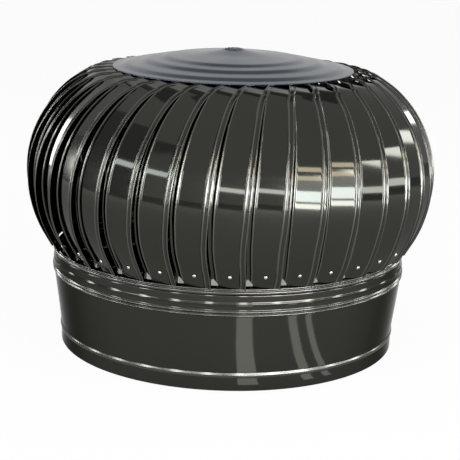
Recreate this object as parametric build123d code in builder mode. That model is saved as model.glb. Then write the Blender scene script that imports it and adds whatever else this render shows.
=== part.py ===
from build123d import *

import os
from math import cos, radians, sin, sqrt, tan

# Roof turbine ventilator: a ball of louvre blades that spins on a fixed, beaded throat.
# Millimetres, +Z up. Origin: centre of the throat's bottom rim, on the spin axis.

os.makedirs("parts", exist_ok=True)

# ---- throat: the fixed sheet neck that slips over a roof upstand ----
throat_sheet = 1.4
throat_radius = 300.0        # outer radius of the plain bottom end
plain_end_height = 22.0
bead_half_height = 5.0
low_bead_rise = 2.5
high_bead_rise = 3.0
flare_width = 13.0           # how far the wall has flared out under the upper bead
flare_height = 131.0         # height where the flare ends
crest_width = 2.0            # how far the upright band above the upper bead leans in
shoulder_drop = 10.5         # from the lip's top edge down to the shoulder inside the rotor
shoulder_depth = 4.5         # height of the sloping shoulder on top of the upright band
lip_width = 3.0              # how far the lip's top stands in from the plain end
shoulder_width = 0.5         # how far the lip's foot stands in from the plain end
throat_height = 180.0

# ---- rotor ball ----
blade_count = 36
blade_sheet = 1.0
bend_radius = 200.0          # each blade is rolled to this radius
blade_foot_length = 30.95    # flat foot below the roll
low_bend_angle = 30.0        # degrees of roll below the widest place
high_bend_angle = 58.0       # degrees of roll above it
top_end_length = 40.5        # flat top end above the roll
louvre_pitch_angle = 11.5    # degrees, outer edge swung out at the widest place
blade_lean_angle = 3.5       # degrees, lean of the strip around the ball as it rises
foot_half_width = 20.0
widest_half_width = 32.0
top_half_width = 20.0
outline_angles = (-10.0, 25.0, 58.0)    # degrees of roll where the side edges change course
end_sweep = 12.0             # how far the top end swings on round the ball
foot_shift = 4.0             # the foot stands this far towards the outer edge
foot_clearance = 0.2         # the foot ends this far above the ring's hem

# ---- base ring ----
ring_sheet = 1.2
ring_overlap = 8.0           # how far the ring hangs down over the throat's lip
ring_height = 36.0
neck_gap = 5.7               # running gap between the throat's lip and the ring's hem
hem_reach = 5.4              # how far the rolled hem stands proud
hem_half_height = 3.0
blade_seat_gap = 0.3

# ---- mid hoop ----
hoop_height = 20.0
hoop_sheet = 2.0
hoop_rise = 5.0              # middle of the hoop above the widest place

# ---- cap ----
cap_sheet = 1.2
cap_overhang = 14.0          # how far the rim reaches out past the blades' top ends
cap_rim_width = 15.5         # flat band between the edge and the first step
cap_step_count = 3
cap_step_width = 15.0
cap_step_rise = 4.9
cap_band_width = 28.0        # flat band between one step and the next
boss_radius = 64.0           # raised flat centre that seats on the hub
boss_rise = 2.5
boss_slope_width = 4.0

# ---- apex cover ----
cover_radius = 44.0
cover_edge_height = 1.2
cover_crown_radius = 18.0
cover_height = 8.2

# ---- shaft and bearings ----
shaft_radius = 10.0
shaft_bottom = 26.0
bearing_radius = 26.0
bearing_inner_radius = 16.0
bearing_width = 14.0
race_gap = 0.3
shaft_end_gap = 4.0
shaft_tip_length = 2.0       # shaft above the upper bearing
shoulder_radius = 15.0       # shaft shoulder that the lower bearing sits on
shoulder_height = 12.0

# ---- fixed brackets ----
arm_angles = (90.0, 210.0, 330.0)
bar_width = 30.0
bar_sheet = 4.0
bend_inside = 4.0
foot_length = 28.0
low_bracket_level = 52.0     # underside of the lower arms
high_bracket_drop = 46.0     # from the lip's top edge down to the underside of the upper arms
frame_hub_radius = 45.0
frame_hub_height = 12.0
foot_gap = 0.3
arm_root_gap = 8.0           # between the shaft and the arms' inner ends
nut_height = 10.0
nut_half_width = 15.0

# ---- rotor hubs and arms ----
lip_clearance = 11.0         # between the throat's lip and the underside of the rotor arms
rotor_arm_root_gap = 4.0     # between the lower bearing and the arms' inner ends
arm_foot_inset = 1.0         # the arms' feet end this far below the base ring's top
rotor_hub_radius = 52.0
rotor_flange = 6.0
housing_wall = 10.0
top_flange_radius = 58.0
top_flange = 6.0

# ---- screws ----
screw_radius = 4.0
screw_hole = 4.3
screw_head = 5.5
screw_head_half = 6.5
screw_edge = 8.0             # screw centres in from the edge of a hub or flange


def write(piece, node):
    piece.part.label = node
    export_step(piece.part, f"parts/{node}.step")


def turned(outline):
    """A solid of revolution about the spin axis from a closed (radius, height) outline."""
    with BuildPart() as piece:
        with BuildSketch(Plane.XZ):
            with BuildLine():
                Polyline(*outline, close=True)
            make_face()
        revolve(axis=Axis.Z)
    return piece


def tube(inner, outer, low, high):
    """A plain ring between two radii and two heights."""
    return turned([(inner, low), (outer, low), (outer, high), (inner, high)])


def radial_plane(angle):
    """Local x runs out from the spin axis at this angle, and local y runs up."""
    out = (cos(radians(angle)), sin(radians(angle)), 0)
    side = (sin(radians(angle)), -cos(radians(angle)), 0)
    return Plane(origin=(0, 0, 0), x_dir=out, z_dir=side)


# ---- levels and radii worked out from the sizes above ----
bead_low_level = plain_end_height + bead_half_height
bead_high_level = flare_height + bead_half_height
bead_top = flare_height + 2 * bead_half_height
flare_radius = throat_radius + flare_width
lip_radius = throat_radius - lip_width
inner_plain_radius = throat_radius - throat_sheet
ring_bottom = throat_height - ring_overlap
ring_top = ring_bottom + ring_height
hem_low = ring_bottom + hem_half_height
hem_top = ring_bottom + 2 * hem_half_height
rotor_arm_level = throat_height + lip_clearance
high_bracket_level = throat_height - high_bracket_drop
pitch_rise = sin(radians(louvre_pitch_angle))

# The blades' feet stand on the base ring, which hangs round the lip with a running gap. That
# places the feet, and the roll above them then gives the ball its radius.
foot_dip = foot_half_width * pitch_rise + blade_sheet / 2 + blade_seat_gap
ring_offset = foot_dip / cos(radians(low_bend_angle))
ring_wall = ring_sheet / cos(radians(low_bend_angle))
foot_bottom = hem_top + foot_clearance
foot_tangent_level = foot_bottom + blade_foot_length * cos(radians(low_bend_angle))
widest_height = foot_tangent_level + bend_radius * sin(radians(low_bend_angle))
hem_tab_radius = lip_radius + neck_gap + ring_wall + ring_offset
foot_tangent_radius = hem_tab_radius + (foot_tangent_level - hem_top) * tan(radians(low_bend_angle))
roll_centre = foot_tangent_radius - bend_radius * cos(radians(low_bend_angle))
ball_radius = roll_centre + bend_radius


def tab_radius(level):
    """Radius of the blades' feet mid-surface at a height."""
    return hem_tab_radius + (level - hem_top) * tan(radians(low_bend_angle))


def wall_seat(level):
    """Where the outer face of a flat foot stands against the inside of the throat wall."""
    if level < bead_top:
        share = (level - plain_end_height) / (bead_top - plain_end_height)
        wall = inner_plain_radius + share * flare_width
    else:
        share = (level - bead_top) / (crest_top - bead_top)
        wall = inner_plain_radius + flare_width - share * crest_width
    return sqrt(wall**2 - (bar_width / 2) ** 2) - foot_gap


# ---- throat collar ----
bead_low_peak = throat_radius + low_bead_rise
bead_high_peak = flare_radius + high_bead_rise
crest_radius = flare_radius - crest_width
shoulder_radius_out = throat_radius - shoulder_width
shoulder_level = throat_height - shoulder_drop
crest_top = shoulder_level - shoulder_depth
collar_outline = [
    (throat_radius, 0),
    (throat_radius, plain_end_height),
    (bead_low_peak, bead_low_level),
    (throat_radius, plain_end_height + 2 * bead_half_height),
    (flare_radius, flare_height),
    (bead_high_peak, bead_high_level),
    (flare_radius, bead_top),
    (crest_radius, crest_top),
    (shoulder_radius_out, shoulder_level),
    (lip_radius, throat_height),
    (lip_radius - throat_sheet, throat_height),
    (shoulder_radius_out - throat_sheet, shoulder_level - throat_sheet),
    (crest_radius - throat_sheet, crest_top - throat_sheet),
    (flare_radius - throat_sheet, bead_top),
    (inner_plain_radius, plain_end_height),
    (inner_plain_radius, 0),
]
write(turned(collar_outline), "throat_collar")

# ---- how each blade lies ----
# Each blade is a strip rolled to one radius about a tilted axis. The axis swings the outer
# edge out by the louvre pitch, and leans the strip around the ball as it rises.
lean = sin(radians(blade_lean_angle))
along = sqrt(1 - pitch_rise**2 - lean**2)
roll_axis = Vector(pitch_rise, along, -lean)
out_axis = (Vector(1, 0, 0) - roll_axis * pitch_rise).normalized()
roll_origin = Vector(ball_radius, 0, widest_height) - out_axis * bend_radius
roll_plane = Plane(origin=roll_origin, x_dir=out_axis, z_dir=-roll_axis)


def centre_shift(roll):
    """How far the strip's centre line has swung around the ball at an angle of roll."""
    swing = pitch_rise * (1 - cos(radians(roll))) + lean * sin(radians(roll))
    return bend_radius * swing


# ---- levels of the cap, which the hub under it and the shaft's length follow ----
high_cos = cos(radians(high_bend_angle))
high_sin = sin(radians(high_bend_angle))
blade_end_out = bend_radius * high_cos - top_end_length * high_sin
blade_end_up = (bend_radius + blade_sheet / 2) * high_sin + top_end_length * high_cos
blade_end = roll_plane.from_local_coords((blade_end_out, blade_end_up, 0))
inner_corner = centre_shift(high_bend_angle) - top_half_width
blade_end_top = blade_end.Z - lean * (inner_corner - blade_end.Y) / along
cap_radius = roll_centre + blade_end_out + cap_overhang
cap_rim_level = blade_end_top + blade_seat_gap + cap_sheet
boss_foot_level = cap_rim_level + cap_step_count * cap_step_rise
cap_flat_level = boss_foot_level + boss_rise
hub_top = cap_flat_level - cap_sheet
housing_roof = hub_top - top_flange
shaft_top = housing_roof - shaft_end_gap
upper_bearing_low = shaft_top - bearing_width - shaft_tip_length
lower_bearing_low = rotor_arm_level - bearing_width
housing_radius = bearing_radius + housing_wall

# ---- fixed shaft, with a shoulder under the lower bearing ----
shaft_outline = [
    (0, shaft_bottom),
    (shaft_radius, shaft_bottom),
    (shaft_radius, lower_bearing_low - shoulder_height),
    (shoulder_radius, lower_bearing_low - shoulder_height),
    (shoulder_radius, lower_bearing_low),
    (shaft_radius, lower_bearing_low),
    (shaft_radius, shaft_top),
    (0, shaft_top),
]
write(turned(shaft_outline), "shaft")


def drilled(body, circle, top):
    """The same body with a screw hole down through it at each arm."""
    with BuildPart() as piece:
        add(body.part)
        with Locations((0, 0, top)):
            with PolarLocations(circle, len(arm_angles), start_angle=arm_angles[0]):
                Hole(screw_hole)
    return piece


def hexagon_prism(half_width, low, height, bore):
    with BuildPart() as prism:
        with BuildSketch(Plane.XY.offset(low)):
            RegularPolygon(half_width, 6, major_radius=False)
            Circle(bore, mode=Mode.SUBTRACT)
        extrude(amount=height)
    return prism


def screws(circle, seat, depth):
    """Hexagon screws on a circle, with heads above the seat, or below it if depth is negative."""
    head = screw_head if depth > 0 else -screw_head
    with BuildPart() as group:
        with BuildSketch(Plane.XY.offset(seat)):
            with PolarLocations(circle, len(arm_angles), start_angle=arm_angles[0]):
                RegularPolygon(screw_head_half, 6, major_radius=False)
        extrude(amount=head)
        with BuildSketch(Plane.XY.offset(seat)):
            with PolarLocations(circle, len(arm_angles), start_angle=arm_angles[0]):
                Circle(screw_radius)
        extrude(amount=-depth)
    return group


def bent_bar(angle, path, screw_circle):
    """A flat bar of one width, bent along a path of (radius, height) points, with a screw hole."""
    with BuildPart() as bar:
        with BuildSketch(radial_plane(angle)):
            with BuildLine():
                FilletPolyline(*path, radius=bend_inside)
                offset(amount=bar_sheet, side=Side.RIGHT, closed=True)
            make_face()
        extrude(amount=bar_width / 2, both=True)
        arm_top = max(path[0][1], path[-1][1]) + bar_sheet
        with Locations(Vector(screw_circle, 0, arm_top).rotate(Axis.Z, angle)):
            Hole(screw_hole)
    return bar


# ---- frame: two hubs on the shaft, each with three arms screwed on top ----
arm_start = shaft_radius + arm_root_gap
frame_circle = frame_hub_radius - screw_edge
for name, level, foot in (
    ("lower", low_bracket_level, foot_length),
    ("upper", high_bracket_level, -foot_length),
):
    hub = tube(shaft_radius, frame_hub_radius, level - frame_hub_height, level)
    write(drilled(hub, frame_circle, level), f"{name}_frame_hub")
    write(screws(frame_circle, level + bar_sheet, bar_sheet + frame_hub_height), f"{name}_frame_screws")
    for number, angle in enumerate(arm_angles, start=1):
        if foot > 0:
            path = [
                (arm_start, level + bar_sheet),
                (wall_seat(level) - bar_sheet, level + bar_sheet),
                (wall_seat(level + foot) - bar_sheet, level + foot),
            ]
        else:
            path = [
                (wall_seat(level + foot) - bar_sheet, level + foot),
                (wall_seat(level) - bar_sheet, level),
                (arm_start, level),
            ]
        write(bent_bar(angle, path, frame_circle), f"{name}_frame_arm_{number}")

# ---- lock nuts: one under the lower hub, one on top of the upper arms ----
lower_nut_low = low_bracket_level - frame_hub_height - nut_height
with BuildPart() as nuts:
    add(hexagon_prism(nut_half_width, lower_nut_low, nut_height, shaft_radius).part)
    add(hexagon_prism(nut_half_width, high_bracket_level + bar_sheet, nut_height, shaft_radius).part)
write(nuts, "shaft_nuts")

# ---- bearings: sealed ball bearings at the bottom and top of the rotor ----
def ring_pair(inner, outer):
    """The same bearing ring at both bearings."""
    with BuildPart() as pair:
        for low in (lower_bearing_low, upper_bearing_low):
            add(tube(inner, outer, low, low + bearing_width).part)
    return pair


write(ring_pair(shaft_radius, bearing_inner_radius), "bearing_inner_rings")
write(ring_pair(bearing_inner_radius + race_gap, bearing_radius), "bearing_outer_rings")

# ---- lower rotor hub: bearing seat with a flange for the arms on top ----
rotor_circle = rotor_hub_radius - screw_edge
lower_hub_outline = [
    (bearing_radius, lower_bearing_low),
    (housing_radius, lower_bearing_low),
    (housing_radius, rotor_arm_level - rotor_flange),
    (rotor_hub_radius, rotor_arm_level - rotor_flange),
    (rotor_hub_radius, rotor_arm_level),
    (bearing_radius, rotor_arm_level),
]
write(drilled(turned(lower_hub_outline), rotor_circle, rotor_arm_level), "lower_rotor_hub")
rotor_screws = screws(rotor_circle, rotor_arm_level + bar_sheet, bar_sheet + rotor_flange)
write(rotor_screws, "rotor_arm_screws")

# ---- upper rotor hub: a flanged bearing cup under the cap ----
top_circle = top_flange_radius - screw_edge
upper_hub_outline = [
    (0, housing_roof),
    (bearing_radius, housing_roof),
    (bearing_radius, upper_bearing_low),
    (housing_radius, upper_bearing_low),
    (housing_radius, housing_roof),
    (top_flange_radius, housing_roof),
    (top_flange_radius, hub_top),
    (0, hub_top),
]
write(drilled(turned(upper_hub_outline), top_circle, hub_top), "upper_rotor_hub")
write(screws(top_circle, housing_roof, -top_flange), "cap_screws")

# ---- base ring: a cone under the blades' feet with a hem rolled at its bottom ----
def ring_radius(level):
    """Outer radius of the base ring's cone at a height."""
    return tab_radius(level) - ring_offset


base_ring_outline = [
    (ring_radius(hem_top), ring_bottom),
    (ring_radius(hem_top) + hem_reach, hem_low),
    (ring_radius(hem_top), hem_top),
    (ring_radius(ring_top), ring_top),
    (ring_radius(ring_top) - ring_wall, ring_top),
    (ring_radius(hem_top) - ring_wall, hem_top),
    (ring_radius(hem_top) - ring_wall, ring_bottom),
]
write(turned(base_ring_outline), "base_ring")

# ---- rotor arms: bars from the lower hub to the inside of the base ring ----
def ring_seat(level):
    """Where the outer face of an arm's foot stands against the inside of the base ring."""
    wall = ring_radius(level) - ring_wall
    return sqrt(wall**2 - (bar_width / 2) ** 2) - foot_gap


rotor_arm_start = bearing_radius + rotor_arm_root_gap
slanted_bar = bar_sheet / cos(radians(low_bend_angle))
for number, angle in enumerate(arm_angles, start=1):
    foot_top = ring_top - arm_foot_inset
    rotor_path = [
        (rotor_arm_start, rotor_arm_level + bar_sheet),
        (ring_seat(rotor_arm_level) - slanted_bar, rotor_arm_level + bar_sheet),
        (ring_seat(foot_top) - slanted_bar, foot_top),
    ]
    write(bent_bar(angle, rotor_path, rotor_circle), f"rotor_arm_{number}")

# ---- blades ----
def strip_side(radius):
    """One face line of the rolled strip: straight foot, round belly, straight top end."""
    belly = CenterArc((0, 0), radius, -low_bend_angle, low_bend_angle + high_bend_angle)
    foot = PolarLine(belly @ 0, blade_foot_length, direction=-(belly % 0))
    top = PolarLine(belly @ 1, top_end_length, direction=belly % 1)
    return foot @ 1, top @ 1


def blade_at(angle):
    with BuildPart() as blade:
        with BuildSketch(roll_plane):
            with BuildLine():
                foot_out, top_out = strip_side(bend_radius + blade_sheet / 2)
                foot_in, top_in = strip_side(bend_radius - blade_sheet / 2)
                Line(foot_out, foot_in)
                Line(top_out, top_in)
            make_face()
        extrude(amount=2 * widest_half_width, both=True)
        with BuildSketch(Plane.YZ):
            with BuildLine():
                Polyline(*blade_outline(), close=True)
            make_face()
        extrude(amount=2 * ball_radius, mode=Mode.INTERSECT)
    return blade.part.rotate(Axis.Z, angle)


def blade_outline():
    """The blade seen from outside: (sideways, height) points, up one edge and down the other."""
    stations = [(foot_shift, foot_half_width, ring_bottom)]
    for roll in outline_angles:
        level = widest_height + bend_radius * sin(radians(roll))
        half = widest_half_width
        if roll > 0:
            half -= (widest_half_width - top_half_width) * (roll / high_bend_angle) ** 2
        stations.append((centre_shift(roll), half, level))
    end_shift = centre_shift(high_bend_angle) + end_sweep
    stations.append((end_shift, top_half_width, blade_end_top + top_half_width))
    up = [(shift + half, level) for shift, half, level in stations]
    down = [(shift - half, level) for shift, half, level in stations]
    return up + down[::-1]


# Opposite numbers a third of a turn apart balance each other and share a node.
set_count = blade_count // 3
for number in range(set_count):
    trio = [blade_at(360.0 / blade_count * (number + set_count * turn)) for turn in range(3)]
    with BuildPart() as blades:
        add(trio)
    write(blades, f"blades_{number + 1:02d}")

# ---- mid hoop: a flat band inside the blades that their inner edges rest on ----
edge_reach = widest_half_width * pitch_rise / along
edge_radius = sqrt((ball_radius - edge_reach) ** 2 + widest_half_width**2)
hoop_top = widest_height + hoop_rise + hoop_height / 2
hoop_sag = bend_radius - sqrt(bend_radius**2 - (hoop_top - widest_height) ** 2)
hoop_radius = edge_radius - blade_sheet / 2 - blade_seat_gap - hoop_sag
write(tube(hoop_radius - hoop_sheet, hoop_radius, hoop_top - hoop_height, hoop_top), "mid_hoop")

# ---- cap: one sheet pressed in flat steps that rise to a boss, with a flat rim ----
cap_face = [(0, cap_flat_level)]
cap_face.append((boss_radius - boss_slope_width, cap_flat_level))
cap_face.append((boss_radius, boss_foot_level))
for step in reversed(range(cap_step_count)):
    step_foot_radius = cap_radius - cap_rim_width - step * (cap_step_width + cap_band_width)
    step_foot_level = cap_rim_level + step * cap_step_rise
    cap_face.append((step_foot_radius - cap_step_width, step_foot_level + cap_step_rise))
    cap_face.append((step_foot_radius, step_foot_level))
cap_face.append((cap_radius, cap_rim_level))
cap_underside = [(radius, level - cap_sheet) for radius, level in reversed(cap_face)]
write(turned(cap_face + cap_underside), "top_cap")

# ---- apex cover: a small pressed cone at the centre of the boss ----
cover_outline = [
    (0, cap_flat_level),
    (cover_radius, cap_flat_level),
    (cover_radius, cap_flat_level + cover_edge_height),
    (cover_crown_radius, cap_flat_level + cover_height),
    (0, cap_flat_level + cover_height),
]
write(turned(cover_outline), "apex_cover")
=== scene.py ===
import math

import bmesh
import bpy
import numpy as np
from mathutils import Matrix, Vector


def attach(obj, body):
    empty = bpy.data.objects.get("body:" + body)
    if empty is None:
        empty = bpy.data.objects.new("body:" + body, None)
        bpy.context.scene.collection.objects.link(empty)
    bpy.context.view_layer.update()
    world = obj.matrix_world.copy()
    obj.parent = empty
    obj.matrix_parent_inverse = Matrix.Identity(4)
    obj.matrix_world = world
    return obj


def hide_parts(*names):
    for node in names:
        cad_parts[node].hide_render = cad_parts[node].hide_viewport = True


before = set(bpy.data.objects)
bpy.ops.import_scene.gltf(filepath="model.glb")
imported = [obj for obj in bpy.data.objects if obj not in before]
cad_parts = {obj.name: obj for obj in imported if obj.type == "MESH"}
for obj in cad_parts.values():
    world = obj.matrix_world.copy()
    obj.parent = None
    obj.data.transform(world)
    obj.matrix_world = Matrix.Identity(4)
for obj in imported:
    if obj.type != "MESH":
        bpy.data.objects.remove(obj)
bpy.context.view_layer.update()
# a millimetre in metres, the least length that is divided by, and the reach of a weld
mm = 0.001
tiny = 1e-12
weldReach = 1e-6


def unit(vectors):
    lengths = np.linalg.norm(vectors, axis=-1, keepdims=True)
    return vectors / np.maximum(lengths, tiny)


def smoothStep(low, high, value):
    # 0 at low, 1 at high, and an S-shaped cubic between
    share = np.clip((value - low) / (high - low), 0, 1)
    return share * share * (3 - 2 * share)


def ridge(offset, halfWidth):
    # a cosine hump, 1 at offset 0 and 0 from halfWidth on
    return 0.5 + 0.5 * np.cos(np.pi * np.clip(offset / halfWidth, -1, 1))


def gridQuads(rows, columns, wrapRows, start=0, flip=False):
    # the quads between neighbouring points of a grid stored row by row
    row = np.arange(rows if wrapRows else rows - 1)[:, None]
    column = np.arange(columns - 1)[None, :]
    nextRow = (row + 1) % rows
    corners = [row * columns + column, nextRow * columns + column]
    corners += [nextRow * columns + column + 1, row * columns + column + 1]
    quads = np.stack(corners, axis=-1).reshape(-1, 4) + start
    return quads[:, ::-1] if flip else quads


def gridNormals(grid, wrapRows):
    # cross product of the two neighbour differences at every grid point
    if wrapRows:
        alongRows = np.roll(grid, -1, axis=0) - np.roll(grid, 1, axis=0)
    else:
        alongRows = np.gradient(grid, axis=0)
    alongColumns = np.gradient(grid, axis=1)
    return unit(np.cross(alongRows, alongColumns))


def sheetParts(grid, thickness, wrapRows=False):
    # one face of sheet metal given thickness against its normals, with its rims closed
    rows, columns = grid.shape[:2]
    back = grid - gridNormals(grid, wrapRows) * thickness
    points = np.concatenate([grid.reshape(-1, 3), back.reshape(-1, 3)])
    size = rows * columns
    quads = [gridQuads(rows, columns, wrapRows)]
    quads.append(gridQuads(rows, columns, wrapRows, size, flip=True))
    row = np.arange(rows if wrapRows else rows - 1)
    nextRow = (row + 1) % rows
    first = np.stack([nextRow, row, row + rows, nextRow + rows], -1)
    low = first * columns
    high = first[:, ::-1] * columns + columns - 1
    quads += [low, high]
    if not wrapRows:
        column = np.arange(columns - 1)
        near = np.stack([column, column + 1, column + 1 + size, column + size], -1)
        quads += [near, near[:, ::-1] + (rows - 1) * columns]
    return points, np.concatenate(quads)


def joined(parts):
    # several (points, quads) pairs as one
    points, quads, start = [], [], 0
    for partPoints, partQuads in parts:
        points.append(partPoints)
        quads.append(partQuads + start)
        start += len(partPoints)
    return np.concatenate(points), np.concatenate(quads)


def makePiece(
    name, points, quads, material, body, replaced=(), sharpAngle=32, weld=False, second=None, slot=None
):
    # second is a material and the indices of the faces that carry it; a quad whose last two
    # points are the same one is a triangle
    mesh = bpy.data.meshes.new(name)
    faces = [face[:3] if face[3] == face[2] else face for face in quads.tolist()]
    mesh.from_pydata(points.tolist(), [], faces)
    if weld:
        work = bmesh.new()
        work.from_mesh(mesh)
        bmesh.ops.remove_doubles(work, verts=work.verts, dist=weldReach)
        work.to_mesh(mesh)
        work.free()
    mesh.validate()
    mesh.polygons.foreach_set("use_smooth", np.ones(len(mesh.polygons), bool))
    mesh.set_sharp_from_angle(angle=math.radians(sharpAngle))
    mesh.materials.append(material)
    if second is not None:
        mesh.materials.append(second[0])
        places = np.zeros(len(mesh.polygons), np.int32)
        places[second[1]] = 1
        mesh.polygons.foreach_set("material_index", places)
    piece = bpy.data.objects.new(name, mesh)
    bpy.context.scene.collection.objects.link(piece)
    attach(piece, body)
    if replaced:
        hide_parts(*replaced)
    return piece


def smoothProfile(corners, step=0.8, cornerPoints=7, stepsApart=6, cutShare=0.49):
    # corners are (radius, height, rounding); each corner is cut back by its rounding on both
    # sides and joined by a quadratic curve of a few points, and a straight longer than
    # stepsApart steps is divided evenly
    corners = [np.array(corner, float) for corner in corners]
    path = [corners[0][:2]]
    for before, here, after in zip(corners, corners[1:], corners[2:]):
        centre = here[:2]
        toBefore = before[:2] - centre
        toAfter = after[:2] - centre
        cutBefore = min(here[2], cutShare * np.linalg.norm(toBefore))
        cutAfter = min(here[2], cutShare * np.linalg.norm(toAfter))
        start = centre + unit(toBefore) * cutBefore
        end = centre + unit(toAfter) * cutAfter
        for share in np.linspace(0, 1, cornerPoints) if here[2] > 0 else [0.5]:
            bowed = start * (1 - share) ** 2 + 2 * centre * share * (1 - share)
            path.append(bowed + end * share**2)
    path.append(corners[-1][:2])
    points = [path[0]]
    for begin, end in zip(path, path[1:]):
        count = max(1, int(np.ceil(np.linalg.norm(end - begin) / step / stepsApart)))
        points += [begin + (end - begin) * k / count for k in range(1, count + 1)]
    return np.array(points)


def turnedGrid(profile, steps, wobble=None):
    # each (radius, height) point of the profile carried once round the spin axis
    turn = np.arange(steps) / steps * 2 * np.pi
    radius = profile[None, :, 0] + np.zeros((steps, 1))
    height = profile[None, :, 1] + np.zeros((steps, 1))
    if wobble is not None:
        radius = radius + wobble(turn[:, None], height)
    across = radius * np.cos(turn)[:, None]
    deep = radius * np.sin(turn)[:, None]
    return np.stack([across, deep, height], -1) * mm


def turnedFaces(profile, steps, spans):
    # the outer faces of a turned piece whose height lies in one of the spans
    middle = (profile[1:, 1] + profile[:-1, 1]) / 2
    bright = np.zeros(len(middle), bool)
    for low, high in spans:
        bright |= (middle > low) & (middle < high)
    face = np.arange(steps * len(middle))
    return face[bright[face % len(middle)]]


class Wire:
    # a socket whose operators add Math nodes
    def __init__(self, graph, socket):
        self.graph = graph
        self.socket = socket

    def maths(self, operation, first, second):
        return self.graph.node("ShaderNodeMath", {"operation": operation}, {0: first, 1: second})

    def __add__(self, other):
        return self.maths("ADD", self, other)

    def __radd__(self, other):
        return self.maths("ADD", other, self)

    def __mul__(self, other):
        return self.maths("MULTIPLY", self, other)

    def __rmul__(self, other):
        return self.maths("MULTIPLY", other, self)


class Graph:
    # the nodes of one material or world
    def __init__(self, tree):
        self.tree = tree

    def node(self, kind, settings=None, sockets=None, output=0):
        # settings are set first, then the values or links of the sockets; gives one output
        made = self.tree.nodes.new(kind)
        for setting, value in (settings or {}).items():
            setattr(made, setting, value)
        for socket, value in (sockets or {}).items():
            if isinstance(value, Wire):
                self.tree.links.new(value.socket, made.inputs[socket])
            else:
                made.inputs[socket].default_value = value
        return Wire(self, made.outputs[output]) if made.outputs else None


steelGrain = {
    "streakScale": (9, 9, 60),
    "streakNoise": 3.0,
    "streakDetail": 4.0,
    "patchNoise": 5.0,
    "patchDetail": 2.0,
    "darkest": 0.88,
    "lightest": 1.1,
}


def mirrorSteel(name, colour, roughness, haze, tint):
    # polished sheet: its roughness is a base plus haze times the noise of fine streaks, and its
    # colour runs between a darker and a lighter share of itself with the noise of broad patches
    material = bpy.data.materials.new(name)
    material.use_nodes = True
    tree = material.node_tree
    shader = tree.nodes["Principled BSDF"]
    shader.inputs["Metallic"].default_value = 1.0
    shader.inputs["Specular Tint"].default_value = (tint, tint, tint, 1)
    graph = Graph(tree)
    place = graph.node("ShaderNodeTexCoord", output="Object")
    stretch = {"Vector": place, "Scale": steelGrain["streakScale"]}
    streak = {
        "Vector": graph.node("ShaderNodeMapping", sockets=stretch),
        "Scale": steelGrain["streakNoise"],
        "Detail": steelGrain["streakDetail"],
    }
    patch = {"Vector": place, "Scale": steelGrain["patchNoise"], "Detail": steelGrain["patchDetail"]}
    fine = graph.node("ShaderNodeTexNoise", sockets=streak)
    broad = graph.node("ShaderNodeTexNoise", sockets=patch)
    # a colour Mix node has its factor in socket 0, its colours in 6 and 7 and its result in 2
    shades = {
        0: broad,
        6: (*[part * steelGrain["darkest"] for part in colour], 1),
        7: (*[part * steelGrain["lightest"] for part in colour], 1),
    }
    shade = graph.node("ShaderNodeMix", {"data_type": "RGBA"}, shades, output=2)
    tree.links.new(shade.socket, shader.inputs["Base Color"])
    tree.links.new((roughness + haze * fine).socket, shader.inputs["Roughness"])
    return material


steels = {
    "blade": dict(colour=(0.040, 0.041, 0.036), roughness=0.05, haze=0.04, tint=0.7),
    # the steel of the beads and rolled edges: its lighter colour is a painted highlight along them, its
    # greater roughness a real rougher finish
    "bead": dict(colour=(0.088, 0.088, 0.081), roughness=0.17, haze=0.04, tint=0.6),
    "neck": dict(colour=(0.040, 0.040, 0.035), roughness=0.06, haze=0.05, tint=0.45),
    "cap": dict(colour=(0.128, 0.145, 0.170), roughness=0.20, haze=0.08, tint=0.72),
    # the tabs between the feet: a far lighter colour than the sheet's, as a painted highlight in the
    # gaps
    "gussetHighlight": dict(colour=(0.34, 0.34, 0.32), roughness=0.10, haze=0.06, tint=0.6),
    "rivet": dict(colour=(0.42, 0.42, 0.40), roughness=0.16, haze=0.06, tint=0.8),
    "frame": dict(colour=(0.10, 0.10, 0.095), roughness=0.30, haze=0.15, tint=0.5),
    "shaft": dict(colour=(0.22, 0.22, 0.21), roughness=0.22, haze=0.10, tint=0.6),
}
finishes = {name: mirrorSteel(f"{name}Steel", **spec) for name, spec in steels.items()}
print("finishes ready")


collar = {
    "sheet": 1.2,
    "turnSteps": 360,
    # (radius, height, rounding) of the outer face from the bottom rim up
    "corners": [
        (300.0, 0.0, 0), (300.0, 22.5, 1.5), (302.4, 26.5, 2.2), (300.4, 31.0, 1.5),
        (312.6, 130.0, 0.8), (315.2, 132.6, 1.2), (313.0, 135.2, 0.8), (313.2, 135.6, 0.6),
        (315.6, 138.4, 1.2), (313.4, 141.2, 0.8),
        (313.0, 148.6, 0.8), (314.2, 151.2, 1.4), (312.9, 154.0, 1.2), (312.2, 165.6, 1.4),
        (309.6, 167.4, 1.2), (299.8, 167.6, 2.0), (297.2, 179.8, 0),
    ],
    "dent": 0.25,
    "dentMiddle": 85,
    "dentHalf": 60,
    # the heights between which the faces carry the bead steel, whose lighter colour is a painted
    # highlight
    "beadSpans": [(23.0, 30.5), (130.3, 134.9), (136.0, 140.8)],
}


def buildCollar(spec):
    def wobble(turn, height):
        # slow waves that a big sheet drum has, none at its beads
        wave = np.sin(3 * turn + 0.7) + 0.6 * np.sin(7 * turn + height / 40)
        wave = wave + 0.3 * np.sin(13 * turn - height / 25)
        return spec["dent"] * wave * ridge(height - spec["dentMiddle"], spec["dentHalf"])

    profile = smoothProfile(spec["corners"])
    grid = turnedGrid(profile, spec["turnSteps"], wobble)
    points, quads = sheetParts(grid, spec["sheet"] * mm, wrapRows=True)
    second = (finishes["bead"], turnedFaces(profile, spec["turnSteps"], spec["beadSpans"]))
    return makePiece(
        "throatSkin", points, quads, finishes["neck"], "base", ["throat_collar"], second=second
    )


neckSkin = buildCollar(collar)
print("collar built")


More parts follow.
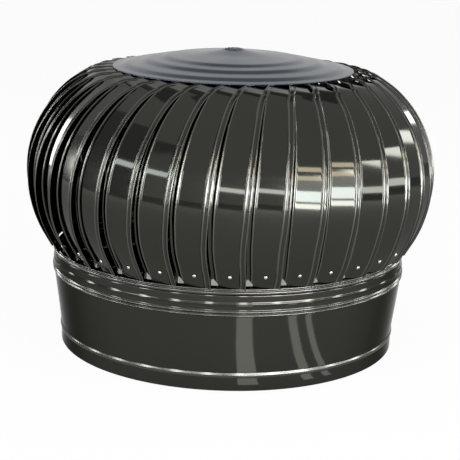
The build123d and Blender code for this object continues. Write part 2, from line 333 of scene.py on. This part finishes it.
ball = {
    "count": 36,
    "radius": 353.2,
    "widest": 305.0,
    "bend": 200.0,
    "lowBend": 30.0,
    "highBend": 58.0,
    "lowTab": 29.0,
    "straight": 8.0,
    "endBend": 30.0,
    "endTurn": 26.0,
    "endTab": 40.0,
    "endUntwist": 5.0,
    "pitch": 9.5,
    "lean": 3.5,
    "footHalf": 27.2,
    "wideHalf": 31.5,
    "topHalf": 25.2,
    "footShift": 4.0,
    # roll angles, in degrees, where the foot starts to narrow and over how many it does
    "taperStart": -2,
    "taperSpan": 36,
    "topTaperSpan": 60,
    "topTaperMost": 1.1,
    # roll angles between which the foot shifts, the beads begin and end, and the top untwists
    "shiftSpan": (-14, -38),
    "beadStart": (-41, -33),
    "beadEnd": (64, 70),
    "untwistSpan": (50, 68),
    "topSwing": 0.36,
    "sharpAngle": 70,
    "sheet": 0.9,
    "beadInset": 8.5,
    "beadHalf": 2.8,
    "beadRise": 1.7,
    "hemHalf": 1.8,
    "hemRise": 1.1,
    "hemPlace": 0.7,
    # how wide the bands on the beads and at the rolled edges are that carry the painted highlight
    # colour
    "beadBright": 1.6,
    "hemBright": 1.5,
    "alongSteps": 200,
    # how far from its edge each column near an edge lies, and how many more fill the middle
    "edgeColumns": [
        0.0, 0.5, 1.1, 1.8, 2.5, 3.6, 5.6, 6.3,
        7.0, 7.7, 8.5, 9.3, 10.0, 10.7, 11.4, 12.8,
    ],
    "middleColumns": 3,
    "setCount": 12,
}


def bladeFrame(spec):
    # the tilted roll axis, the outward axis and the origin of one blade's roll
    rise = math.sin(math.radians(spec["pitch"]))
    lean = math.sin(math.radians(spec["lean"]))
    along = math.sqrt(1 - rise**2 - lean**2)
    axis = np.array([rise, along, -lean])
    out = unit(np.array([1.0, 0, 0]) - axis * rise)
    up = np.cross(out, axis)
    origin = np.array([spec["radius"], 0, spec["widest"]]) - out * spec["bend"]
    return axis, out, up, origin, rise, lean


def acrossColumns(spec, half):
    # distances from the middle line: fixed steps in from both edges, then even steps between
    edge = np.array(spec["edgeColumns"])
    inner = half[:, None] - edge[-1]
    even = inner * np.linspace(-1, 1, spec["middleColumns"] + 2)[None, 1:-1]
    return np.concatenate([edge - half[:, None], even, half[:, None] - edge[::-1]], axis=1)


def bladeGrid(spec):
    # a strip rolled to one radius with straight ends; across it the beads and hems stand proud
    axis, out, up, origin, rise, lean = bladeFrame(spec)
    bend = spec["bend"]
    low, high = math.radians(-spec["lowBend"]), math.radians(spec["highBend"])
    endTurn = math.radians(spec["endTurn"])
    beltEnd = high * bend
    bendStart = beltEnd + spec["straight"]
    bendEnd = bendStart + endTurn * spec["endBend"]
    arc = np.linspace(low * bend - spec["lowTab"], bendEnd + spec["endTab"], spec["alongSteps"])
    # the heading is the roll angle of the sheet; the path is its running sum along the arc
    heading = np.clip(arc / bend, low, high)
    heading = heading + np.clip((arc - bendStart) / spec["endBend"], 0, endTurn)
    radial = np.stack([np.cos(heading), np.sin(heading)], -1)
    tangent = np.stack([-np.sin(heading), np.cos(heading)], -1)
    middle = (tangent[1:] + tangent[:-1]) / 2 * np.diff(arc)[:, None]
    path = np.concatenate([[[0, 0]], np.cumsum(middle, axis=0)])
    bendFoot = np.array([math.cos(low), math.sin(low)]) * bend
    footEnd = bendFoot - spec["lowTab"] * np.array([-math.sin(low), math.cos(low)])
    centre2d = footEnd + path
    roll = np.clip(arc / bend, low, high)
    beyond = arc - roll * bend
    swing = bend * (rise * (1 - np.cos(roll)) + lean * np.sin(roll))
    swing = swing + beyond * np.where(beyond > 0, spec["topSwing"], 0.0)
    rollDegrees = np.degrees(arc / bend)
    footTaper = np.clip((spec["taperStart"] - rollDegrees) / spec["taperSpan"], 0, 1)
    half = spec["wideHalf"] - (spec["wideHalf"] - spec["footHalf"]) * footTaper
    topTaper = np.clip(rollDegrees / spec["topTaperSpan"], 0, spec["topTaperMost"]) ** 2
    half = half - (spec["wideHalf"] - spec["topHalf"]) * topTaper
    shift = spec["footShift"] * smoothStep(*spec["shiftSpan"], rollDegrees)
    side = acrossColumns(spec, half)
    fromEdge = half[:, None] - np.abs(side)
    beadEnds = 1 - smoothStep(*spec["beadEnd"], rollDegrees)
    fade = (smoothStep(*spec["beadStart"], rollDegrees) * beadEnds)[:, None]
    lift = spec["beadRise"] * ridge(fromEdge - spec["beadInset"], spec["beadHalf"]) * fade
    hemOffset = fromEdge - spec["hemHalf"] * spec["hemPlace"]
    lift = lift + spec["hemRise"] * ridge(hemOffset, spec["hemHalf"])
    untwisting = smoothStep(*spec["untwistSpan"], rollDegrees)[:, None]
    untwist = math.tan(math.radians(spec["endUntwist"])) * untwisting
    lift = lift - side * untwist
    core = origin + centre2d[:, :1] * out + centre2d[:, 1:] * up
    sideways = swing[:, None] + shift[:, None] + side
    slide = (sideways - core[:, None, 1]) / axis[1]
    normal = radial[:, :1] * out + radial[:, 1:] * up
    return (core[:, None, :] + slide[..., None] * axis + normal[:, None, :] * lift[..., None]) * mm


def turnedAbout(points, angle):
    cosine, sine = math.cos(angle), math.sin(angle)
    turn = np.array([[cosine, -sine, 0], [sine, cosine, 0], [0, 0, 1]])
    return points @ turn.T


def beadFaces(spec, faceCount):
    # the outer faces whose column lies on a bead or on the rolled edge, which carry the painted
    # highlight colour
    side = acrossColumns(spec, np.array([spec["wideHalf"]]))[0]
    fromEdge = spec["wideHalf"] - np.abs((side[1:] + side[:-1]) / 2)
    columns = len(fromEdge)
    onBead = np.abs(fromEdge - spec["beadInset"]) < spec["beadBright"]
    bright = onBead | (fromEdge < spec["hemBright"])
    face = np.arange((spec["alongSteps"] - 1) * columns)
    outer = face[bright[face % columns]]
    copies = np.arange(spec["count"] // spec["setCount"])
    return (outer[None, :] + copies[:, None] * faceCount).ravel()


def buildBlades(spec):
    points, quads = sheetParts(bladeGrid(spec)[:, ::-1], spec["sheet"] * mm)
    second = (finishes["bead"], beadFaces(spec, len(quads)))
    pitch = 2 * math.pi / spec["count"]
    for number in range(spec["setCount"]):
        trio = []
        for turn in range(spec["count"] // spec["setCount"]):
            angle = pitch * (number + spec["setCount"] * turn)
            trio.append((turnedAbout(points, angle), quads))
        makePiece(
            f"louvres{number + 1:02d}", *joined(trio), finishes["blade"], "rotor",
            [f"blades_{number + 1:02d}"], sharpAngle=spec["sharpAngle"], second=second,
        )


buildBlades(ball)
print("blades built")


ring = {
    "sheet": 1.0,
    "turnSteps": 360,
    "corners": [
        (313.6, 167.6, 0), (315.0, 170.6, 1.6), (312.4, 173.2, 0.9), (314.2, 176.0, 1.6),
        (311.0, 178.6, 1.0), (305.4, 180.2, 1.5), (320.0, 207.6, 0),
    ],
    "profileStep": 0.6,
    # the hem beads, which carry the painted highlight colour
    "beadSpans": [(167.0, 179.4)],
}


def buildRing(spec):
    profile = smoothProfile(spec["corners"], spec["profileStep"])
    grid = turnedGrid(profile, spec["turnSteps"])
    points, quads = sheetParts(grid, spec["sheet"] * mm, wrapRows=True)
    second = (finishes["bead"], turnedFaces(profile, spec["turnSteps"], spec["beadSpans"]))
    return makePiece(
        "baseRing", points, quads, finishes["neck"], "rotor", ["base_ring"], second=second
    )


buildRing(ring)
print("ring built")


cap = {
    "sheet": 1.0,
    "turnSteps": 320,
    # (radius, height, rounding) of the top face from the rolled edge in to the boss
    "corners": [
        (209.6, 486.8, 0), (211.0, 487.6, 0.6), (211.0, 489.6, 1.0), (197.0, 491.0, 3.0),
        (184.0, 495.6, 4.0), (161.0, 498.2, 4.0), (148.0, 502.9, 4.0), (128.0, 504.9, 4.0),
        (115.0, 508.9, 4.0), (50.0, 514.6, 14.0), (19.0, 519.8, 5.0), (14.5, 522.0, 3.0),
        (0.0, 522.6, 0),
    ],
    "profileStep": 0.7,
    "tipRadius": 0.01,
    "coreRadius": 21.0,
    "coreRough": 0.55,
    "coreFade": 0.6,
    "tipFade": 5,
    "dent": 0.35,
    "dentMiddle": 130,
    "dentHalf": 100,
}


def buildCap(spec):
    # slow waves over the sheet, with the crumpled metal of the spun centre inside the core radius
    profile = smoothProfile(spec["corners"], spec["profileStep"])
    profile[-1, 0] = spec["tipRadius"]
    grid = turnedGrid(profile, spec["turnSteps"])
    radius = np.linalg.norm(grid[..., :2], axis=-1) / mm
    turn = np.arctan2(grid[..., 1], grid[..., 0])
    sheetWave = np.sin(3 * turn + 0.4) * np.sin(radius / 31) + 0.5 * np.sin(5 * turn + radius / 22)
    wave = spec["dent"] * sheetWave * ridge(radius - spec["dentMiddle"], spec["dentHalf"])
    core = np.sin(7 * turn + radius * 1.1) * np.sin(4 * turn - radius * 0.8)
    core = core + 0.5 * np.sin(11 * turn + radius)
    inside = 1 - smoothStep(spec["coreFade"], 1.0, radius / spec["coreRadius"])
    wave = wave + spec["coreRough"] * core * inside * smoothStep(0, spec["tipFade"], radius)
    grid[..., 2] += wave * mm
    points, quads = sheetParts(grid, spec["sheet"] * mm, wrapRows=True)
    return makePiece(
        "capSkin", points, quads, finishes["cap"], "rotor", ["top_cap", "apex_cover"], weld=True
    )


capSkin = buildCap(cap)
print("cap built")


# the rings of a dome's outline, each a share of its radius and a share of its height
domeOutline = [(1.0, 0.0), (0.96, 0.35), (0.70, 0.78), (0.34, 0.97)]


def domeParts(count, radius, height):
    # a low dome of a few dozen faces with its flat back closed, in its own frame along +x
    rings = [(radius * reach, height * rise) for reach, rise in domeOutline]
    turn = np.arange(count) / count * 2 * np.pi
    circle = np.stack([np.zeros(count), np.cos(turn), np.sin(turn)], -1)
    points = [reach * circle + [rise, 0, 0] for reach, rise in rings]
    points = np.concatenate([*points, [[height, 0, 0], [0, 0, 0]]])
    column = np.arange(count)
    following = (column + 1) % count
    quads = []
    for row in range(len(rings) - 1):
        quads.append(np.stack([column, following, following + count, column + count], -1) + row * count)
    last = (len(rings) - 1) * count
    tip = np.full(count, len(points) - 2)
    back = np.full(count, len(points) - 1)
    quads.append(np.stack([column + last, following + last, tip, tip], -1))
    quads.append(np.stack([following, column, back, back], -1))
    return points, np.concatenate(quads)


gussets = {
    "low": 183.0,
    "high": 203.5,
    "radius": 315.9,
    "fall": 7.0,
    "width": 15.0,
    "start": 25.5,
    "cut": 0.86,
    "acrossPoints": 9,
    "upPoints": 7,
    "sheet": 0.8,
}


def buildGussets(spec):
    # a folded three-cornered tab in each gap between two feet, upright at its left side; its light
    # colour is a painted highlight
    share = np.linspace(0, 1, spec["acrossPoints"])[:, None]
    height = np.linspace(0, 1, spec["upPoints"])[None, :]
    angle = (spec["start"] + spec["width"] * share) / spec["radius"] + 0 * height
    top = spec["low"] + (spec["high"] - spec["low"]) * (1 - spec["cut"] * share)
    level = spec["low"] + (top - spec["low"]) * height
    radius = spec["radius"] + (level - spec["low"]) * math.tan(math.radians(spec["fall"]))
    grid = np.stack([radius * np.cos(angle), radius * np.sin(angle), level], -1) * mm
    points, quads = sheetParts(grid, spec["sheet"] * mm)
    pitch = 2 * math.pi / ball["count"]
    parts = [(turnedAbout(points, pitch * number), quads) for number in range(ball["count"])]
    allPoints, allQuads = joined(parts)
    return makePiece(
        "footGussets", allPoints, allQuads, finishes["gussetHighlight"], "rotor", slot="polished_sheet"
    )


buildGussets(gussets)
print("gussets built")

rivets = {
    "level": 200.0,
    "radius": 3.3,
    "height": 1.9,
    "sides": 12,
    "proud": 0.4,
    "sharpAngle": 60,
    "seamAngle": -108.4,
    "seamLevel": 184.5,
    # the ring's flared wall: radius and height of its foot, and its slope in degrees
    "wallFoot": (304.8, 181),
    "wallSlope": 30,
}


def buildRivets(spec):
    # one domed rivet through each foot into the base ring, and one at the ring's lap
    axis, out, up, origin = bladeFrame(ball)[:4]
    points, quads = domeParts(spec["sides"], spec["radius"], spec["height"])
    low = math.radians(ball["lowBend"])
    face = math.cos(low) * out - math.sin(low) * up
    reach, drop = math.cos(low) * ball["bend"], math.sin(low) * ball["bend"]
    below = (ball["widest"] - drop - spec["level"]) / math.cos(low)
    core = origin + (reach - math.sin(low) * below) * out + (-drop - math.cos(low) * below) * up
    core = core + axis * ((ball["footShift"] - core[1]) / axis[1]) + face * spec["proud"]
    side = axis
    rising = np.cross(face, side)
    placed = (core + points[:, :1] * face + points[:, 1:2] * side + points[:, 2:] * rising) * mm
    pitch = 2 * math.pi / ball["count"]
    parts = [(turnedAbout(placed, pitch * number), quads) for number in range(ball["count"])]
    slope = math.radians(spec["wallSlope"])
    wallFace = np.array([math.cos(slope), 0, -math.sin(slope)])
    wallRise = np.array([math.sin(slope), 0, math.cos(slope)])
    footRadius, footLevel = spec["wallFoot"]
    seatRadius = footRadius + (spec["seamLevel"] - footLevel) * math.tan(slope)
    seat = np.array([seatRadius, 0, spec["seamLevel"]])
    around = np.array([0, 1, 0])
    seam = seat + points[:, :1] * wallFace + points[:, 1:2] * around + points[:, 2:] * wallRise
    seam = seam * mm
    parts.append((turnedAbout(seam, math.radians(spec["seamAngle"])), quads))
    allPoints, allQuads = joined(parts)
    return makePiece(
        "footRivets", allPoints, allQuads, finishes["rivet"], "rotor",
        weld=True, sharpAngle=spec["sharpAngle"], slot="polished_sheet",
    )


buildRivets(rivets)
print("rivets built")


def dress(names, material):
    for name in names:
        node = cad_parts[name]
        node.data.materials.clear()
        node.data.materials.append(material)


dress(["mid_hoop"], finishes["cap"])
barNames = [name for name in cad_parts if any(word in name for word in ("arm", "hub", "screws"))]
dress(barNames, finishes["frame"])
shaftNames = ["shaft", "shaft_nuts", "bearing_inner_rings", "bearing_outer_rings"]
dress(shaftNames, finishes["shaft"])
print("frame pieces dressed")


view = {
    "place": (0.0, -2369.5, 799.0),
    "yaw": 0.001,
    "down": 0.25,
    "roll": 0.0285,
    "focalPixels": 1352.6,
    "imagePixels": 460,
    "sensor": 36,
    "farthest": 60,
}


def placeCamera(spec):
    # the lens is the focal length in pixels carried over to the sensor in millimetres
    camera = bpy.data.objects.new("camera", bpy.data.cameras.new("camera"))
    camera.data.sensor_width = spec["sensor"]
    camera.data.lens = spec["sensor"] * spec["focalPixels"] / spec["imagePixels"]
    camera.data.clip_end = spec["farthest"]
    yaw, down, roll = spec["yaw"], spec["down"], spec["roll"]
    level = Vector((math.sin(yaw), math.cos(yaw), 0)) * math.cos(down)
    forward = level - Vector((0, 0, math.sin(down)))
    right = Vector((math.cos(yaw), -math.sin(yaw), 0))
    up = right.cross(forward)
    turnedRight = right * math.cos(roll) + up * math.sin(roll)
    turnedUp = up * math.cos(roll) - right * math.sin(roll)
    axes = Matrix((turnedRight, turnedUp, -forward)).transposed().to_4x4()
    camera.matrix_world = Matrix.Translation(Vector(spec["place"]) * mm) @ axes
    bpy.context.scene.collection.objects.link(camera)
    bpy.context.scene.camera = camera


placeCamera(view)


studio = {
    "floorSize": 30.0,
    "floorColour": (0.55, 0.55, 0.545, 1),
    "floorWhite": 0.94,
    "floorMirrored": 0.25,
    "worldSoft": 0.55,
    # soft boxes stand this far from the ball's nearest side, in metres
    "boxDistance": 2.9,
    "ballLevel": 0.33,
    "ballReach": 0.35,
}


def stagePanel(name, corners):
    # a flat four-cornered surface of the studio, with an empty material to fill
    mesh = bpy.data.meshes.new(name)
    mesh.from_pydata(corners, [], [(0, 1, 2, 3)])
    panel = bpy.data.objects.new(name, mesh)
    bpy.context.scene.collection.objects.link(panel)
    material = bpy.data.materials.new(name)
    material.use_nodes = True
    material.node_tree.nodes.clear()
    mesh.materials.append(material)
    return panel, Graph(material.node_tree)


def rays(graph, *kinds):
    # the sum of tests that are 1 for a ray of their kind and 0 for others
    return sum(graph.node("ShaderNodeLightPath", output=f"Is {kind} Ray") for kind in kinds)


def buildStudio(spec):
    # the floor glows for the camera and, dimmer, in reflections, and is plain for the rest; the
    # world is full white to those rays and softer as light on the object
    half = spec["floorSize"] / 2
    corners = [(-half, -half, 0), (half, -half, 0), (half, half, 0), (-half, half, 0)]
    graph = stagePanel("floor", corners)[1]
    seen = rays(graph, "Camera", "Transmission") * spec["floorWhite"]
    seen = seen + rays(graph, "Glossy") * spec["floorMirrored"]
    diffuse = graph.node("ShaderNodeBsdfDiffuse", sockets={"Color": spec["floorColour"]})
    glow = graph.node("ShaderNodeEmission", sockets={"Color": (1, 1, 1, 1)})
    mix = graph.node("ShaderNodeMixShader", sockets={0: seen, 1: diffuse, 2: glow})
    graph.node("ShaderNodeOutputMaterial", sockets={"Surface": mix})

    world = bpy.data.worlds.new("studio")
    bpy.context.scene.world = world
    world.use_nodes = True
    world.node_tree.nodes.clear()
    graph = Graph(world.node_tree)
    seen = rays(graph, "Camera", "Glossy", "Transmission")
    strength = spec["worldSoft"] + (1 - spec["worldSoft"]) * seen
    sky = {"Color": (1, 1, 1, 1), "Strength": strength}
    background = graph.node("ShaderNodeBackground", sockets=sky)
    graph.node("ShaderNodeOutputWorld", sockets={"Surface": background})


def towards(azimuth, elevation):
    # azimuth runs from straight at the camera's side round to the right
    turn, rise = math.radians(azimuth), math.radians(elevation)
    level = Vector((math.sin(turn), -math.cos(turn), 0)) * math.cos(rise)
    return level + Vector((0, 0, math.sin(rise)))


def softBox(name, azimuth, low, high, wide, radiance, colour=(1, 1, 1)):
    # an area lamp that fills these angles as seen from the ball's nearest side; its power
    # gives this radiance over its own area
    middle = towards(azimuth, (low + high) / 2)
    distance = studio["boxDistance"]
    near = Vector((0, 0, studio["ballLevel"])) + towards(azimuth / 2, 0) * studio["ballReach"]
    lamp = bpy.data.lights.new(name, "AREA")
    lamp.shape = "RECTANGLE"
    lamp.size = 2 * distance * math.tan(math.radians(wide / 2))
    lamp.size_y = 2 * distance * math.tan(math.radians((high - low) / 2))
    lamp.energy = radiance * lamp.size * lamp.size_y * math.pi
    lamp.color = colour
    lamp.diffuse_factor = 0.0
    box = bpy.data.objects.new(name, lamp)
    box.location = near + middle * distance
    box.rotation_mode = "QUATERNION"
    box.rotation_quaternion = (-middle).to_track_quat("-Z", "Y")
    box.visible_camera = False
    box.light_linking.receiver_collection = allButCap
    bpy.context.scene.collection.objects.link(box)


def glossyPanel(name, corners, strength, clear=False):
    # a plain panel that only reflections see; a clear one adds light to what lies behind it
    panel, graph = stagePanel(name, corners)
    surface = graph.node("ShaderNodeEmission", sockets={"Strength": strength})
    if clear:
        behind = graph.node("ShaderNodeBsdfTransparent")
        surface = graph.node("ShaderNodeAddShader", sockets={0: surface, 1: behind})
    graph.node("ShaderNodeOutputMaterial", sockets={"Surface": surface})
    panel.visible_camera = False
    panel.visible_diffuse = False
    panel.visible_shadow = False
    return panel


# the soft boxes leave the cap to the soft surroundings
allButCap = bpy.data.collections.new("allButCap")
allButCap.objects.link(capSkin)
allButCap.collection_objects[0].light_linking.link_state = "EXCLUDE"
cream = (1.0, 0.86, 0.68)
cool = (0.86, 0.93, 1.0)
white = (1.0, 1.0, 1.0)
# a window of two panes with a dim haze round it, two strips over it, and one long strip each for
# the front, the right and the left:
# name: azimuth, low, high and wide in degrees, then radiance and colour
softBoxTable = {
    "windowUpper": (35, 0, 10, 40, 20, cool),
    "windowLower": (35, -10, -2, 40, 20, white),
    "windowHaze": (35, -15, 20, 60, 3, white),
    "stripLow": (35, 20, 24, 40, 10, cream),
    "stripHigh": (35, 28, 32, 40, 10, cream),
    "frontStrip": (-10, 10, 14, 50, 10, white),
    "rightStrip": (80, 0, 5, 40, 10, white),
    "leftStrip": (-70, 18, 22, 50, 10, cool),
}
# equal tall narrow panes all round the front, which light up the beads and hems
paneRing = {
    "count": 14,
    "first": -140,
    "step": 21.5,
    "low": -5,
    "high": 25,
    "wide": 5,
    "radiance": 16,
}
# equal patches of glare on the floor that only the throat's side picks up: azimuth and width
# in degrees; their reach and level in metres
glareTable = [(8, 7), (30, 4), (38, 3)]
glare = {
    "near": 0.32,
    "far": 0.62,
    "level": 0.003,
    "strength": 2.0,
}
# dim panels that darken the left and the overhead reflections: strength and corners in metres
flagTable = {
    "leftFlag": (0.45, [(-4.2, 2.5, 0), (-4.2, -2.2, 0), (-4.2, -2.2, 4.5), (-4.2, 2.5, 4.5)]),
    "overheadFlag": (0.35, [(-2, 1.2, 4), (2, 1.2, 4), (2, 5.0, 4), (-2, 5.0, 4)]),
}

buildStudio(studio)
for name, (azimuth, low, high, wide, radiance, colour) in softBoxTable.items():
    softBox(name, azimuth, low, high, wide, radiance, colour)
for number in range(paneRing["count"]):
    azimuth = paneRing["first"] + paneRing["step"] * number
    angles = [paneRing[key] for key in ("low", "high", "wide")]
    softBox(f"pane{number}", azimuth, *angles, paneRing["radiance"])
neckOnly = bpy.data.collections.new("neckOnly")
neckOnly.objects.link(neckSkin)
for number, (azimuth, wide) in enumerate(glareTable):
    ends = []
    for turn, reach in ((-wide, "near"), (wide, "near"), (wide, "far"), (-wide, "far")):
        side = towards(azimuth + turn / 2, 0) * glare[reach]
        ends.append((side.x, side.y, glare["level"]))
    patch = glossyPanel(f"floorGlare{number}", ends, glare["strength"], clear=True)
    patch.light_linking.receiver_collection = neckOnly
for name, (strength, corners) in flagTable.items():
    glossyPanel(name, corners, strength)
print("studio ready")

scene = bpy.context.scene
scene.view_settings.view_transform = "Standard"
